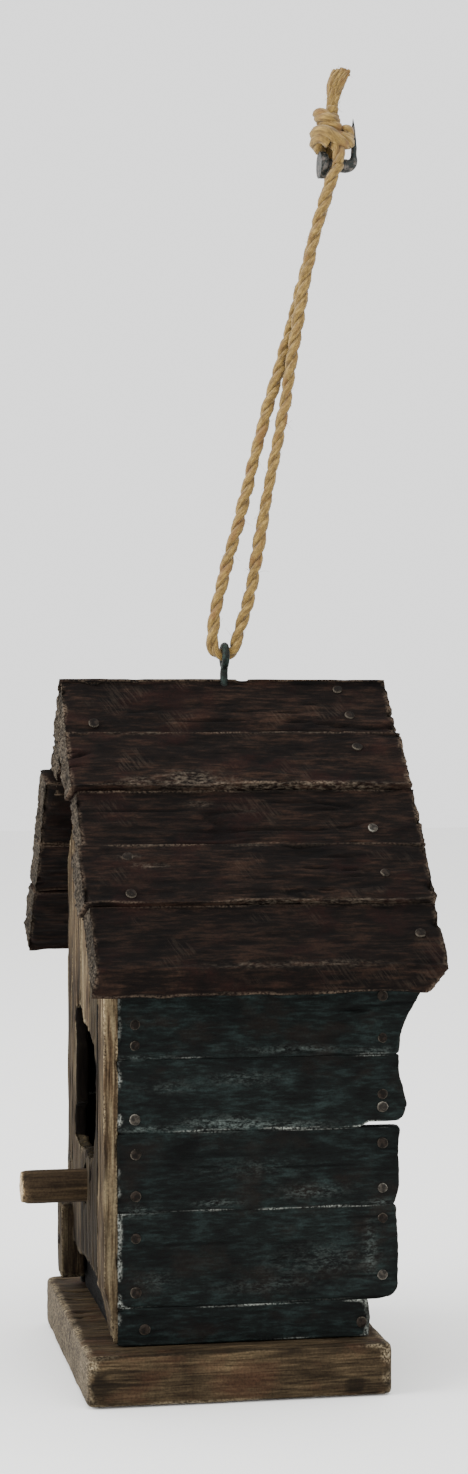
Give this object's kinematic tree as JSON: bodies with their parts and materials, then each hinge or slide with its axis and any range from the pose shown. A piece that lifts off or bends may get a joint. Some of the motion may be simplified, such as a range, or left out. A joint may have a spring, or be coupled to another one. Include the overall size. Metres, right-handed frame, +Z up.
{
  "type": "birdhouse",
  "caption": "Rustic plank birdhouse with a gable roof, ragged entrance hole and perch, hung from a small hook by a loop of twisted cord.",
  "frame": {"origin": "middle of the hook collar's flat back face, where the hook is fixed", "axes": "+Z up; -Y is out of the house front with the entrance hole; +X is square to the side wall whose nails are nodes"},
  "size_m": [0.158, 0.1182, 0.4101],
  "materials": {
    "roof_wood": "dark stained rough sawn board",
    "blue_paint": "worn blue-black paint on rough board",
    "bare_wood": "bare weathered board",
    "base_wood": "oiled brown board with pale edges",
    "dark_iron": "blackened iron",
    "jute": "twisted natural cord"
  },
  "bodies": {
    "hook": {"hook": "dark_iron", "knot": "jute"},
    "cord": {"cord_loop": "jute"},
    "house": {"back_board_1": "bare_wood", "back_board_2": "bare_wood", "back_board_3": "bare_wood", "back_board_4": "bare_wood", "base_board": "base_wood", "front_nail_1": "dark_iron", "front_nail_2": "dark_iron", "front_plank_1": "bare_wood", "front_plank_2": "bare_wood", "front_plank_3_lower": "bare_wood", "front_plank_3_upper": "bare_wood", "front_plank_4": "bare_wood", "front_plank_5": "bare_wood", "front_plank_5_foot": "bare_wood", "front_sill": "bare_wood", "left_roof_board_1": "roof_wood", "left_roof_board_2": "roof_wood", "left_roof_board_3": "roof_wood", "left_roof_board_4": "roof_wood", "left_roof_board_5": "roof_wood", "left_side_plank_1": "blue_paint", "left_side_plank_2": "blue_paint", "left_side_plank_3": "blue_paint", "left_side_plank_4": "blue_paint", "left_side_plank_5": "blue_paint", "left_side_plank_6": "blue_paint", "perch": "base_wood", "right_roof_board_1": "roof_wood", "right_roof_board_2": "roof_wood", "right_roof_board_3": "roof_wood", "right_roof_board_4": "roof_wood", "right_roof_board_5": "roof_wood", "right_side_plank_1": "blue_paint", "right_side_plank_2": "blue_paint", "right_side_plank_3": "blue_paint", "right_side_plank_4": "blue_paint", "right_side_plank_5": "blue_paint", "right_side_plank_6": "blue_paint", "roof_nail_1": "dark_iron", "roof_nail_2": "dark_iron", "roof_nail_3": "dark_iron", "roof_nail_4": "dark_iron", "roof_nail_5": "dark_iron", "screw_eye": "dark_iron", "wall_nail_1": "dark_iron", "wall_nail_2": "dark_iron", "wall_nail_3": "dark_iron", "wall_nail_4": "dark_iron", "wall_nail_5": "dark_iron", "wall_nail_6": "dark_iron", "wall_nail_7": "dark_iron", "wall_nail_8": "dark_iron", "wall_nail_9": "dark_iron"}
  },
  "joints": [
    {"name": "cord_swing", "type": "hinge", "parent": "hook", "child": "cord", "pos_m": [0, 0.0055, 0], "axis": [1, 0, 0], "range_deg": [-8, 53]},
    {"name": "house_swing", "type": "hinge", "parent": "cord", "child": "house", "pos_m": [0, -0.0308, -0.15285], "axis": [1, 0, 0], "range_deg": [-43, 17]}
  ]
}
